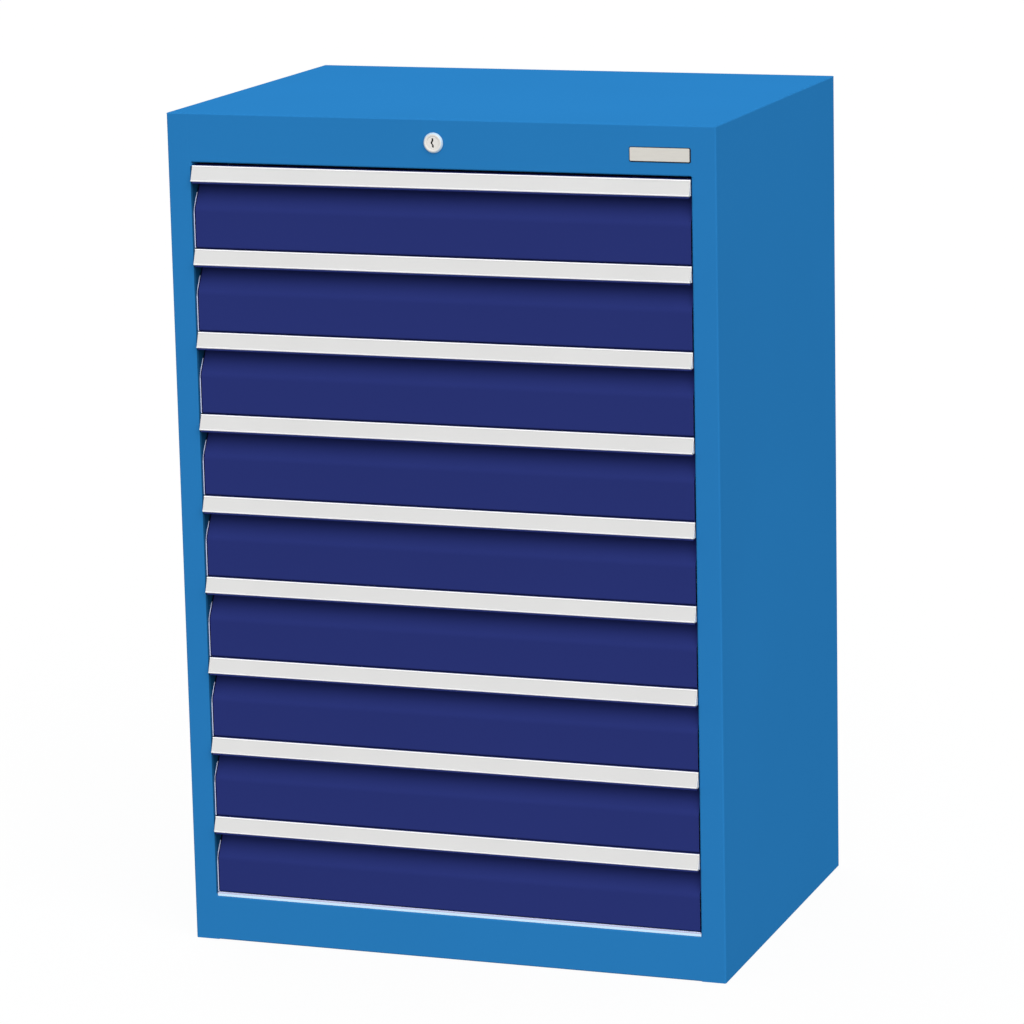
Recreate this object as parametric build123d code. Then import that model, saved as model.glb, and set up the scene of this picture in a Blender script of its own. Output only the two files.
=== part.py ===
from build123d import *
import math
import os

# Workshop drawer cabinet: a welded sheet-steel housing with nine equal drawers, a folded finger recess and a
# label strip on every front, and one cylinder lock that catches all the drawers through a bar at the back.
# X points right, Y back and Z up. The origin is on the floor, in the middle of the whole outline.
# Lengths are in millimetres. "Depth" in a name or comment is measured back from the housing's front face.

# Drawer box, a plain folded tray; the width, depth and height are the clear inside
drawer_count = 9
drawer_pitch = 100.0
box_width = 600.0
box_depth = 400.0
box_height = 80.0
box_sheet = 1.0
box_lift = 8.0
hem_height = 8.0
hem_thickness = 1.0

# Drawer front, one folded sheet: lower flange, flat face, sloping finger recess, upright back, top flange and
# a face that leans out over the recess and carries the label strip
front_sheet = 1.2
front_setback = 1.0
front_reveal = 1.0
lowest_front_rise = 3.0
front_side_gap = 1.5
flat_height = 47.0
recess_depth = 16.0
recess_top = 74.0
recess_bend = 12.0
upper_bend = 3.0
tight_bend = 1.6
grip_hem = 1.8

# Label strip on the leaning face, an extruded channel with two lips that hold the label
grip_length = 19.6
grip_tilt = 20.5
strip_drop = 0.2
strip_overhang = 0.6
strip_plate = 1.0
lip_depth = 1.0
upper_lip_height = 1.4
lower_lip_height = 2.4
bead_radius = 1.2
label_thickness = 0.6
label_play = 0.2

# Housing shell
shell_sheet = 1.5
bend_radius = 2.0
stile_width = 30.0
stile_return = 25.0
stile_play = 2.1
stile_notch = 4.0
top_rail_height = 58.5
top_gap = 3.5
bottom_rail_height = 55.5
rail_return = 20.0
liner_sheet = 1.5
liner_setback = 0.4
liner_lip = 2.8
rear_space = 79.8
rear_flange = 20.0

# Base ring inside the foot of the housing, with four fixing holes
ring_sheet = 2.0
ring_flange = 40.0
ring_leg = 40.0
ring_gap = 1.0
fixing_hole_radius = 6.5
fixing_inset = 22.0

# Differential slides: channel on the drawer, roller carriage between, channel in the housing
rail_sheet = 1.2
drawer_rail_depth = 4.4
side_play = 0.5
carriage_bar = 2.0
carriage_height = 20.0
cabinet_rail_depth = 6.2
roller_radius = 8.0
roller_play = 0.3
slide_height = 32.0
drawer_travel = 400.0
rail_setback = 30.0
rail_overrun = 20.0
carriage_setback = 34.0
shoe_length = 18.0
inner_shoe_depths = (58.0, 190.0)
outer_shoe_depth = 404.0
roller_depth = 262.0
carriage_end_margin = 14.0

# Uprights that carry the housing's rails
upright_sheet = 1.5
upright_width = 40.0
upright_setback = 35.0

# Cylinder lock in the top rail, a little to the left of the middle
lock_x = -3.0
lock_height_below_top = 27.5
bezel_radius = 12.0
bezel_proud = 3.0
bezel_chamfer = 1.1
barrel_radius = 10.0
barrel_length = 22.0
nut_across_flats = 27.0
nut_thickness = 5.0
plug_radius = 7.5
plug_play = 0.05
plug_recess = 0.4
plug_length = 26.0
keyway_height = 10.8
keyway_width = 1.8
keyway_depth = 9.0

# Shaft, crank and locking bar behind the drawers
shaft_radius = 4.0
shaft_play = 0.05
crank_throw = 8.0
crank_thickness = 4.0
crank_margin = 3.0
crank_pin_radius = 3.0
pin_play = 0.4
bar_gap_to_crank = 5.0
bar_width = 26.0
bar_thickness = 3.0
bar_end_margin = 12.0
hook_reach = 15.0
hook_sheet = 1.5
hook_width = 28.0
hook_lip_height = 62.0
catch_clearance = 2.0
catch_play = 1.2
catch_head_room = 0.7
lug_width = 18.0
lug_thickness = 2.0
bar_to_hook_gap = 4.8
guide_sheet = 1.5
guide_height = 20.0
guide_play = 0.3
guide_lip = 6.0
bearing_sheet = 2.0
bearing_width = 32.0
bearing_below_shaft = 14.0
bearing_gap_to_crank = 4.0

# Bare nameplate on the top rail
plate_width = 74.0
plate_height = 17.6
plate_thickness = 0.8
plate_corner = 2.0
plate_drop = 25.6

# What follows from the sizes above
box_side = box_width / 2 + box_sheet
drawer_rail_tip = box_side + drawer_rail_depth
bar_inner = drawer_rail_tip + side_play
bar_outer = bar_inner + carriage_bar
cabinet_rail_tip = bar_outer + side_play
cabinet_rail_back = cabinet_rail_tip + cabinet_rail_depth
opening_half = bar_outer + stile_play
housing_half = opening_half + stile_width
skin_inner = housing_half - shell_sheet

box_front = front_setback + recess_depth + front_sheet
box_back = box_front + 2 * box_sheet + box_depth
housing_depth = box_back + rear_space
rear_inner = housing_depth - 2 * shell_sheet

opening_bottom = bottom_rail_height
opening_top = opening_bottom + liner_sheet + drawer_count * drawer_pitch + top_gap
housing_height = opening_top + top_rail_height
lid_bottom = housing_height - shell_sheet
front_height = drawer_pitch - front_reveal
front_half = opening_half - front_side_gap

tilt = math.radians(grip_tilt)
grip_proud = (grip_length - bead_radius) * math.sin(tilt) + bead_radius * (1 - math.cos(tilt))
front_y = grip_proud - (housing_depth + grip_proud) / 2

lock_z = housing_height - lock_height_below_top
bar_travel = 2 * crank_throw * math.sin(math.radians(45))
bar_x = lock_x - crank_throw * (1 + math.cos(math.radians(45))) / 2
hook_end = box_back + hook_reach
bar_front = hook_end + bar_to_hook_gap
crank_back = bar_front - bar_gap_to_crank
catch_depth = bar_travel - catch_clearance + catch_head_room


def front_bottom(number):
    """Height of a drawer front's lower edge; drawer 1 is at the top."""
    return opening_bottom + liner_sheet + (drawer_count - number) * drawer_pitch + front_reveal


def at(depth):
    """Y coordinate of a depth behind the housing's front face."""
    return front_y + depth


def block(x_range, depth_range, z_range):
    """Box between two corners, given as ranges in X, depth and Z."""
    centre = Pos(sum(x_range) / 2, at(sum(depth_range) / 2), sum(z_range) / 2)
    size = [abs(high - low) for low, high in (x_range, depth_range, z_range)]
    return centre * Box(*size)


def side_block(side, x_range, depth_range, z_range):
    """Box on one side of the cabinet; X is measured outward from the middle."""
    return block([side * value for value in x_range], depth_range, z_range)


def rod(x, z, radius, depth_range):
    """Cylinder along Y."""
    middle = Pos(x, at(sum(depth_range) / 2), z)
    return middle * Rot(90, 0, 0) * Cylinder(radius, depth_range[1] - depth_range[0])


def folded(points, bends, thickness):
    """Section of a bent sheet, from its middle line and the bends' middle radii."""
    return trace(FilletPolyline(*points, radius=bends), thickness)


def along_x(section, half_length):
    """Run a section drawn in Y and Z across the cabinet."""
    return extrude(Plane.YZ.offset(-half_length) * section, amount=2 * half_length)


def side_panel(side):
    """Outer skin, front stile with its return, and rear flange, bent from one sheet."""
    half = shell_sheet / 2
    points = [
        (side * (housing_half - rear_flange), at(housing_depth - half)),
        (side * (housing_half - half), at(housing_depth - half)),
        (side * (housing_half - half), at(half)),
        (side * (opening_half + half), at(half)),
        (side * (opening_half + half), at(stile_return)),
    ]
    sheet = extrude(folded(points, bend_radius - half, shell_sheet), amount=lid_bottom)
    notch = (opening_half - 1, opening_half + stile_notch)
    for z_range in ((-1, opening_bottom), (opening_top, lid_bottom + 1)):
        sheet -= side_block(side, notch, (-1, stile_return + 1), z_range)
    return sheet


def rail_section(edge_z, back_z):
    """Front rail's face, bent back at the opening; edge_z is the opening's side of it."""
    half = shell_sheet / 2
    inward = math.copysign(half, back_z - edge_z)
    points = [(at(half), back_z), (at(half), edge_z + inward), (at(rail_return), edge_z + inward)]
    return folded(points, bend_radius - half, shell_sheet)


def rail_ends(z_range):
    """Flat ends of a front rail, which meet the stiles."""
    across = (opening_half, opening_half + stile_notch)
    return side_block(-1, across, (0, shell_sheet), z_range) + side_block(1, across, (0, shell_sheet), z_range)


def top_panel():
    """Lid, top rail and rear flange as one welded piece, with the lock's hole."""
    outline = block((-housing_half, housing_half), (0, housing_depth), (0, housing_height))
    rounded = fillet(outline.edges().group_by(Axis.Z)[-1], bend_radius)
    lid = rounded & block((-housing_half, housing_half), (0, housing_depth), (lid_bottom, housing_height))
    rail = along_x(rail_section(opening_top, lid_bottom), opening_half) + rail_ends((opening_top, lid_bottom))
    across = (rear_flange - housing_half, housing_half - rear_flange)
    flange_z = (lid_bottom - rear_flange, lid_bottom)
    flange = block(across, (housing_depth - shell_sheet, housing_depth), flange_z)
    return lid + rail + flange - rod(lock_x, lock_z, barrel_radius, (-1, stile_return))


def bottom_rail():
    """Rail under the lowest drawer, bent back at its top and bottom."""
    half = shell_sheet / 2
    points = [
        (at(rail_return), opening_bottom - half),
        (at(half), opening_bottom - half),
        (at(half), half),
        (at(rail_return), half),
    ]
    section = folded(points, bend_radius - half, shell_sheet)
    return along_x(section, opening_half) + rail_ends((0, opening_bottom))


def rear_panel():
    """Flat back, set in against the rear flanges and clear of their inner bends."""
    half = housing_half - bend_radius
    return block((-half, half), (rear_inner, rear_inner + shell_sheet), (0, lid_bottom))


def floor_liner():
    """Sheet floor that lies on the bottom rail; its front edge is turned up as a pale line below the fronts."""
    level = (opening_bottom, opening_bottom + liner_sheet)
    wide = block((-skin_inner, skin_inner), (stile_return + ring_gap, rear_inner), level)
    across = (-opening_half, opening_half)
    tongue = block(across, (liner_setback, stile_return + ring_gap), level)
    return wide + tongue + block(across, (liner_setback, liner_setback + liner_sheet), (level[0], level[1] + liner_lip))


def base_ring():
    """Angle ring inside the foot, with one fixing hole in each corner."""
    depths = (stile_return + ring_gap, rear_inner)
    ring = block((-skin_inner, skin_inner), depths, (0, ring_leg))
    inside = skin_inner - ring_sheet
    inner_depths = (depths[0] + ring_sheet, depths[1] - ring_sheet)
    ring -= block((-inside, inside), inner_depths, (ring_sheet, ring_leg + 1))
    clear_depths = (depths[0] + ring_flange, depths[1] - ring_flange)
    ring -= block((ring_flange - skin_inner, skin_inner - ring_flange), clear_depths, (-1, ring_leg))
    for side in (-1, 1):
        for depth in (depths[0] + fixing_inset, depths[1] - fixing_inset):
            hole = Pos(side * (skin_inner - fixing_inset), at(depth), ring_sheet / 2)
            ring -= hole * Cylinder(fixing_hole_radius, 2 * ring_sheet)
    return ring


def upright(side, depth):
    """Channel from the floor liner to the lid, open towards the skin."""
    z_range = (opening_bottom + liner_sheet, lid_bottom)
    web = (cabinet_rail_back, cabinet_rail_back + upright_sheet)
    channel = side_block(side, (cabinet_rail_back, skin_inner), (depth, depth + upright_width), z_range)
    hollow = (depth + upright_sheet, depth + upright_width - upright_sheet)
    return channel - side_block(side, (web[1], skin_inner + 1), hollow, (0, housing_height))


def slide_uprights():
    """Four uprights, two on each side."""
    rear = rail_end() - upright_width - upright_sheet
    return [upright(side, depth) for side in (-1, 1) for depth in (upright_setback, rear)]


def rail_end():
    """Depth at which the housing's rails end."""
    return outer_shoe_depth + shoe_length / 2 + rail_overrun


def channel(side, web_range, tip, depth_range, middle_z):
    """C-channel along Y: an upright web and two flanges that reach to tip."""
    inside = roller_radius + roller_play
    outside = inside + rail_sheet
    x_range = (min(web_range[0], tip), max(web_range[1], tip))
    solid = side_block(side, x_range, depth_range, (middle_z - outside, middle_z + outside))
    if tip > web_range[1]:
        bore = (web_range[1], tip + 1)
    else:
        bore = (tip - 1, web_range[0])
    through = (depth_range[0] - 1, depth_range[1] + 1)
    return solid - side_block(side, bore, through, (middle_z - inside, middle_z + inside))


def cabinet_rails():
    """Fixed channels, one each side of every drawer, open inward."""
    web = (cabinet_rail_back - rail_sheet, cabinet_rail_back)
    numbers = range(1, drawer_count + 1)
    return [
        channel(side, web, cabinet_rail_tip, (rail_setback, rail_end()), front_bottom(number) + slide_height)
        for number in numbers
        for side in (-1, 1)
    ]


def drawer_rails(number):
    """Channels on the box's sides, open outward."""
    web = (box_side, box_side + rail_sheet)
    depths = (box_front + box_sheet, box_back)
    middle = front_bottom(number) + slide_height
    return [channel(side, web, drawer_rail_tip, depths, middle) for side in (-1, 1)]


def carriage_side(side, middle_z):
    """Bar with two glide shoes in the drawer's channel, and a load roller and a shoe in the housing's."""
    depths = (carriage_setback, outer_shoe_depth + carriage_end_margin)
    bar_z = (middle_z - carriage_height / 2, middle_z + carriage_height / 2)
    inner = (box_side + rail_sheet + roller_play, bar_inner)
    outer = (bar_outer, cabinet_rail_back - rail_sheet - roller_play)
    pieces = [side_block(side, (bar_inner, bar_outer), depths, bar_z)]
    shoe_z = (middle_z - roller_radius, middle_z + roller_radius)
    shoes = [(inner, depth) for depth in inner_shoe_depths] + [(outer, outer_shoe_depth)]
    for x_range, depth in shoes:
        pieces.append(side_block(side, x_range, (depth - shoe_length / 2, depth + shoe_length / 2), shoe_z))
    roller = Rot(0, 90, 0) * Cylinder(roller_radius, outer[1] - outer[0])
    pieces.append(Pos(side * sum(outer) / 2, at(roller_depth), middle_z) * roller)
    return pieces


def carriage(number):
    """Left and right roller carriages of one drawer."""
    middle = front_bottom(number) + slide_height
    return carriage_side(-1, middle) + carriage_side(1, middle)


def drawer_front(number):
    """Folded front sheet, from the lower flange up to the leaning face; the lowest front starts higher."""
    low = front_bottom(number)
    top = low + front_height
    edge = low + (lowest_front_rise if number == drawer_count else 0)
    half = front_sheet / 2
    back = at(front_setback + recess_depth + half)
    inward = lip_depth + strip_plate + half
    rise = (inward * math.sin(tilt) - half) / math.cos(tilt)
    fall = -(grip_length + grip_hem)
    points = [
        (at(box_front), edge + half),
        (at(front_setback + half), edge + half),
        (at(front_setback + half), low + flat_height),
        (back, low + recess_top),
        (back, top - half),
        (at(inward * math.cos(tilt) + rise * math.sin(tilt)), top - half),
        (at(inward * math.cos(tilt) + fall * math.sin(tilt)), top - inward * math.sin(tilt) + fall * math.cos(tilt)),
    ]
    bends = [tight_bend, recess_bend, upper_bend, tight_bend, tight_bend]
    return along_x(folded(points, bends, front_sheet), front_half)


def grip_frame(number):
    """Upper end of the lips' outer plane, turned to the strip's lean."""
    return Pos(at(0), front_bottom(number) + front_height) * Rot(0, 0, -grip_tilt)


def local_box(inward_range, up_range):
    """Rectangle in the strip's own directions, inward and up along its face."""
    size = (inward_range[1] - inward_range[0], up_range[1] - up_range[0])
    return Pos(sum(inward_range) / 2, sum(up_range) / 2) * Rectangle(*size)


def drawer_handle(number):
    """Label channel with two lips, the lower one rounded as a grip edge; and a label."""
    thickness = lip_depth + strip_plate
    label_up = (lower_lip_height + label_play - grip_length, -strip_drop - upper_lip_height - label_play)
    lower = local_box((0, thickness), (-grip_length, lower_lip_height - grip_length))
    lower = fillet(lower.vertices().group_by(Axis.X)[0].sort_by(Axis.Y)[0], bead_radius)
    upper = local_box((0, thickness), (-strip_drop - upper_lip_height, -strip_drop))
    plate = local_box((lip_depth, thickness), (bead_radius - grip_length, -strip_drop))
    strip = grip_frame(number) * (plate + upper + lower)
    label = grip_frame(number) * local_box((lip_depth - label_thickness, lip_depth), label_up)
    half_length = front_half + strip_overhang
    return [along_x(strip, half_length), along_x(label, half_length - label_play)]


def drawer_box(number):
    """Open tray with hemmed side and rear walls, and the hook that the locking bar catches."""
    low = front_bottom(number) + box_lift
    high = low + box_sheet + box_height
    tray = block((-box_side, box_side), (box_front, box_back), (low, high))
    inner_depths = (box_front + box_sheet, box_back - box_sheet)
    tray -= block((-box_width / 2, box_width / 2), inner_depths, (low + box_sheet, high + 1))
    hem_z = (high - hem_height, high)
    for side in (-1, 1):
        tray += side_block(side, (box_side, box_side + hem_thickness), (box_front, box_back), hem_z)
    tray += block((-box_side, box_side), (box_back, box_back + hem_thickness), hem_z)
    lip_z = front_bottom(number) + hook_lip_height
    plate_z = lip_z + catch_depth
    width = (bar_x - hook_width / 2, bar_x + hook_width / 2)
    hook = block(width, (box_back, hook_end), (plate_z, plate_z + hook_sheet))
    hook += block(width, (hook_end - hook_sheet, hook_end), (lip_z, plate_z + hook_sheet))
    return [tray, hook]


def lock_body():
    """Bevelled bezel and barrel in one piece."""
    bezel = rod(lock_x, lock_z, bezel_radius, (-bezel_proud, 0))
    bezel = chamfer(bezel.edges().sort_by(Axis.Y)[0], bezel_chamfer)
    bore = rod(lock_x, lock_z, plug_radius + plug_play, (-bezel_proud - 1, barrel_length + 1))
    return bezel + rod(lock_x, lock_z, barrel_radius, (0, barrel_length)) - bore


def lock_nut():
    """Hexagon nut that clamps the barrel behind the top rail."""
    hexagon = Pos(lock_x, lock_z) * RegularPolygon(nut_across_flats / 2, 6, major_radius=False)
    nut = extrude(Plane.XZ.offset(-at(shell_sheet)) * hexagon, amount=-nut_thickness)
    return nut - rod(lock_x, lock_z, barrel_radius, (0, barrel_length))


def lock_plug():
    """Turning cylinder with its keyway."""
    face = plug_recess - bezel_proud
    plug = rod(lock_x, lock_z, plug_radius, (face, plug_length))
    keyway = Box(keyway_width, keyway_depth + 1, keyway_height)
    return plug - Pos(lock_x, at(face + (keyway_depth - 1) / 2), lock_z) * keyway


def lock_shaft():
    """Shaft from the plug to the back, with its crank arm and pin."""
    shaft = rod(lock_x, lock_z, shaft_radius, (plug_length, crank_back - crank_thickness))
    offset = crank_throw * math.cos(math.radians(45))
    width = 2 * (shaft_radius + crank_margin)
    length = crank_throw + shaft_radius + crank_pin_radius + 2 * crank_margin
    reach = crank_throw + crank_pin_radius + crank_margin - length / 2
    turned = Pos(lock_x, at(crank_back - crank_thickness / 2), lock_z) * Rot(0, -45, 0)
    arm = turned * Pos(-reach, 0, 0) * Box(length, crank_thickness, width)
    pin_end = bar_front + 2 * bar_thickness
    return shaft + arm + rod(lock_x - offset, lock_z - offset, crank_pin_radius, (crank_back, pin_end))


def locking_bar():
    """Flat bar with the crank's slot, and one lug below each drawer's hook."""
    offset = crank_throw * math.cos(math.radians(45))
    slot_z = lock_z - offset
    lowest_lug = front_bottom(drawer_count) + hook_lip_height - catch_clearance - catch_depth - lug_thickness
    x_range = (bar_x - bar_width / 2, bar_x + bar_width / 2)
    bar_z = (lowest_lug - bar_end_margin, slot_z + bar_end_margin)
    bar = block(x_range, (bar_front, bar_front + bar_thickness), bar_z)
    reach = crank_throw - offset + 2 * (crank_pin_radius + pin_play)
    slot = Pos(bar_x, slot_z) * SlotOverall(reach, 2 * (crank_pin_radius + pin_play))
    bar -= extrude(Plane.XZ.offset(-at(bar_front - 1)) * slot, amount=-(bar_thickness + 2))
    return [bar] + [bar_lug(number) for number in range(1, drawer_count + 1)]


def bar_lug(number):
    """Angle on the locking bar whose edge rises in front of the drawer's hook."""
    high = front_bottom(number) + hook_lip_height - catch_clearance
    low = high - catch_depth
    front = hook_end - hook_sheet - catch_play - lug_thickness
    x_range = (bar_x - lug_width / 2, bar_x + lug_width / 2)
    lug = block(x_range, (front, bar_front), (low - lug_thickness, low))
    return lug + block(x_range, (front, front + lug_thickness), (low - lug_thickness, high))


def bar_guide(number):
    """Bracket on the rear panel that holds the locking bar from all four sides."""
    middle = front_bottom(number) + front_height - guide_height / 2
    z_range = (middle - guide_height / 2, middle + guide_height / 2)
    inner = bar_width / 2 + guide_play
    outer = inner + guide_sheet
    front = bar_front - guide_play - guide_sheet
    behind = bar_front + bar_thickness + guide_play
    bracket = block((bar_x - outer, bar_x + outer), (front, rear_inner), z_range)
    bracket -= block((bar_x - inner, bar_x + inner), (behind + guide_sheet, rear_inner - guide_sheet), z_range)
    bracket -= block((bar_x - inner, bar_x + inner), (front + guide_sheet, behind), z_range)
    window = inner - guide_lip
    return bracket - block((bar_x - window, bar_x + window), (front - 1, front + guide_sheet), z_range)


def shaft_bearing():
    """Plate that hangs from the lid and carries the shaft just before its crank."""
    back = crank_back - crank_thickness - bearing_gap_to_crank
    x_range = (lock_x - bearing_width / 2, lock_x + bearing_width / 2)
    plate = block(x_range, (back - bearing_sheet, back), (lock_z - bearing_below_shaft, lid_bottom))
    return plate - rod(lock_x, lock_z, shaft_radius + shaft_play, (back - 2 * bearing_sheet, back + bearing_sheet))


def lock_fixings():
    """Fixed pieces of the lock train: three bar guides, the shaft's rear bearing and the barrel's nut."""
    numbers = (1, (drawer_count + 1) // 2, drawer_count)
    return [bar_guide(number) for number in numbers] + [shaft_bearing(), lock_nut()]


def name_plate():
    """Bare plate at the right end of the top rail, above the opening's edge."""
    outline = RectangleRounded(plate_width, plate_height, plate_corner)
    middle = Pos(opening_half - plate_width / 2, housing_height - plate_drop - plate_height / 2)
    return extrude(Plane.XZ.offset(-at(0)) * middle * outline, amount=plate_thickness)


def write(name, piece):
    """Export one sub-part; a list becomes separate solids in one file."""
    pieces = piece if isinstance(piece, list) else [piece]
    solids = [solid for item in pieces for solid in item.solids()]
    export_step(solids[0] if len(solids) == 1 else Compound(children=solids), f"parts/{name}.step")


os.makedirs("parts", exist_ok=True)
write("left_side_panel", side_panel(-1))
write("right_side_panel", side_panel(1))
write("top_panel", top_panel())
write("bottom_rail", bottom_rail())
write("rear_panel", rear_panel())
write("floor_liner", floor_liner())
write("base_ring", base_ring())
write("slide_uprights", slide_uprights())
write("cabinet_rails", cabinet_rails())
write("name_plate", name_plate())
write("lock_body", lock_body())
write("lock_plug", lock_plug())
write("lock_shaft", lock_shaft())
write("locking_bar", locking_bar())
write("lock_fixings", lock_fixings())
for drawer_number in range(1, drawer_count + 1):
    write(f"drawer_{drawer_number}_box", drawer_box(drawer_number))
    write(f"drawer_{drawer_number}_front", drawer_front(drawer_number))
    write(f"drawer_{drawer_number}_handle", drawer_handle(drawer_number))
    write(f"drawer_{drawer_number}_rails", drawer_rails(drawer_number))
    write(f"drawer_{drawer_number}_carriage", carriage(drawer_number))
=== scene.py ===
import bpy
import bmesh
import math
from mathutils import Euler, Matrix, Vector


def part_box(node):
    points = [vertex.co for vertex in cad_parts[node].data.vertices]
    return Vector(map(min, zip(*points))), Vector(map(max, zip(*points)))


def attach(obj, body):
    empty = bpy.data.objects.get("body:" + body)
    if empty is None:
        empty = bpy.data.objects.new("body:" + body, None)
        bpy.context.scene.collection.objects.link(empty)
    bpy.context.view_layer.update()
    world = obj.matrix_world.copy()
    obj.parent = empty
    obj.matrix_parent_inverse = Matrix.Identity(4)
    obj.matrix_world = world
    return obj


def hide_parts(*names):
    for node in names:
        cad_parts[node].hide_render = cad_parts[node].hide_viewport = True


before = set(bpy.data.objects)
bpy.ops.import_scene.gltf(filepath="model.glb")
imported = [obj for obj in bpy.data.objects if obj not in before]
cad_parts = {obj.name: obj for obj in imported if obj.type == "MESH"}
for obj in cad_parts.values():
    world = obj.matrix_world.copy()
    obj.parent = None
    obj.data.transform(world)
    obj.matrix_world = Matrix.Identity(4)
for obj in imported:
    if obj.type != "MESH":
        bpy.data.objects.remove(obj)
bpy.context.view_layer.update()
MM = 0.001


# Housing: lid, rails, side skins with their stiles and the back, folded from 1.5 mm sheet and welded flush.
# All of it wears one light-blue powder coat with a fine orange peel, a little thin along the edges; the
# paler line there is partly thin coat and partly a painted highlight.
HOUSING_BLUE = (0.0198, 0.1800, 0.4540, 1)
HOUSING_EDGE = (0.06, 0.27, 0.55, 1)
HOUSING_NODES = ("left_side_panel", "right_side_panel", "top_panel", "bottom_rail", "rear_panel")


def wire(tree, socket, value):
    """Feed a socket from another node's socket, or set its own value."""
    if isinstance(value, bpy.types.NodeSocket):
        tree.links.new(value, socket)
    else:
        socket.default_value = value


def put(tree, kind, inputs=None, **settings):
    """Add a shader node; inputs names its sockets, settings its own properties."""
    node = tree.nodes.new("ShaderNode" + kind)
    for name, value in settings.items():
        setattr(node, name, value)
    for name, value in (inputs or {}).items():
        wire(tree, node.inputs[name], value)
    return node


def start_group(name, inputs, outputs):
    """Empty shader node group with its named inputs and outputs."""
    group = bpy.data.node_groups.new(name, "ShaderNodeTree")
    for label, (kind, value) in inputs.items():
        socket = group.interface.new_socket(label, in_out="INPUT", socket_type="NodeSocket" + kind)
        socket.default_value = value
    for label, kind in outputs.items():
        group.interface.new_socket(label, in_out="OUTPUT", socket_type="NodeSocket" + kind)
    taken = group.nodes.new("NodeGroupInput").outputs
    given = group.nodes.new("NodeGroupOutput").inputs
    return group, taken, given


def blend(tree, factor, first, second):
    """Colour between first and second."""
    inputs = {"Factor": factor, "A": first, "B": second}
    return put(tree, "Mix", inputs, data_type="RGBA").outputs[2]


def use_group(tree, group, inputs):
    """Place a node group in a material with its own values."""
    node = tree.nodes.new("ShaderNodeGroup")
    node.node_tree = group
    for name, value in inputs.items():
        wire(tree, node.inputs[name], value)
    return node.outputs


def start_material(name, **constants):
    """Material with a Principled BSDF; constants are set on the shader's own sockets."""
    material = bpy.data.materials.new(name)
    material.use_nodes = True
    shader = material.node_tree.nodes["Principled BSDF"]
    for label, value in constants.items():
        shader.inputs[label.replace("_", " ")].default_value = value
    return material, material.node_tree, shader.inputs


def dress(node_name, material):
    """Give a CAD node its finish."""
    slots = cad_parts[node_name].data.materials
    slots.clear()
    slots.append(material)


powder_coat, coat, coat_out = start_group(
    "powder_coat",
    {
        "Colour": ("Color", (0.5, 0.5, 0.5, 1)),
        "Colour Spread": ("Float", 0.03),
        "Peel Size": ("Float", 0.0022),
        "Peel Depth": ("Float", 0.00002),
        "Roughness": ("Float", 0.42),
        "Roughness Spread": ("Float", 0.05),
    },
    {"Colour": "Color", "Roughness": "Float", "Normal": "Vector"},
)
place = put(powder_coat, "TexCoord").outputs["Object"]
cloud = put(powder_coat, "TexNoise", {"Vector": place, "Scale": 2.4, "Detail": 3.0})
darkest = put(powder_coat, "Math", {0: 1.0, 1: coat["Colour Spread"]}, operation="SUBTRACT")
lightest = put(powder_coat, "Math", {0: 1.0, 1: coat["Colour Spread"]}, operation="ADD")
tone = put(powder_coat, "MapRange", {
    "Value": cloud.outputs["Fac"], "From Min": 0.3, "From Max": 0.7,
    "To Min": darkest.outputs[0], "To Max": lightest.outputs[0],
})
shade = put(powder_coat, "VectorMath", {0: coat["Colour"], "Scale": tone.outputs[0]}, operation="SCALE")
powder_coat.links.new(shade.outputs[0], coat_out["Colour"])
patch = put(powder_coat, "TexNoise", {"Vector": place, "Scale": 17.0, "Detail": 2.0})
swing = put(powder_coat, "Math", {0: patch.outputs["Fac"], 1: 0.5}, operation="SUBTRACT")
gloss = put(powder_coat, "Math", {
    0: swing.outputs[0], 1: coat["Roughness Spread"], 2: coat["Roughness"],
}, operation="MULTIPLY_ADD")
powder_coat.links.new(gloss.outputs[0], coat_out["Roughness"])
fineness = put(powder_coat, "Math", {0: 1.0, 1: coat["Peel Size"]}, operation="DIVIDE")
peel = put(powder_coat, "TexNoise", {"Vector": place, "Scale": fineness.outputs[0], "Detail": 1.0})
dimple = put(powder_coat, "Bump", {"Height": peel.outputs["Fac"], "Distance": coat["Peel Depth"]})
powder_coat.links.new(dimple.outputs[0], coat_out["Normal"])

# Paler edges: a bevel mask on every edge, broken into patches. It stands partly for thin, worn coat and
# partly for a painted highlight.
edge_wear_and_highlight, wear_and_highlight_inputs, wear_and_highlight_out = start_group(
    "edge_wear_and_highlight",
    {"Width": ("Float", 0.0012), "Amount": ("Float", 0.3)},
    {"Edge": "Float"},
)
rounded = put(edge_wear_and_highlight, "Bevel", {"Radius": wear_and_highlight_inputs["Width"]}, samples=4)
plain = put(edge_wear_and_highlight, "NewGeometry").outputs["Normal"]
bend = put(edge_wear_and_highlight, "VectorMath", {0: rounded.outputs[0], 1: plain}, operation="DOT_PRODUCT")
sharp = put(edge_wear_and_highlight, "MapRange", {"Value": bend.outputs["Value"], "From Min": 0.99, "From Max": 0.8})
edge_breakup = put(edge_wear_and_highlight, "TexNoise", {"Vector": put(edge_wear_and_highlight, "TexCoord").outputs["Object"], "Scale": 45.0})
patchy = put(edge_wear_and_highlight, "MapRange", {
    "Value": edge_breakup.outputs["Fac"], "From Min": 0.3, "From Max": 0.7, "To Min": 0.4,
})
broken = put(edge_wear_and_highlight, "Math", {0: sharp.outputs[0], 1: patchy.outputs[0]}, operation="MULTIPLY")
edge = put(edge_wear_and_highlight, "Math", {0: broken.outputs[0], 1: wear_and_highlight_inputs["Amount"]}, operation="MULTIPLY")
edge_wear_and_highlight.links.new(edge.outputs[0], wear_and_highlight_out["Edge"])

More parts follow.
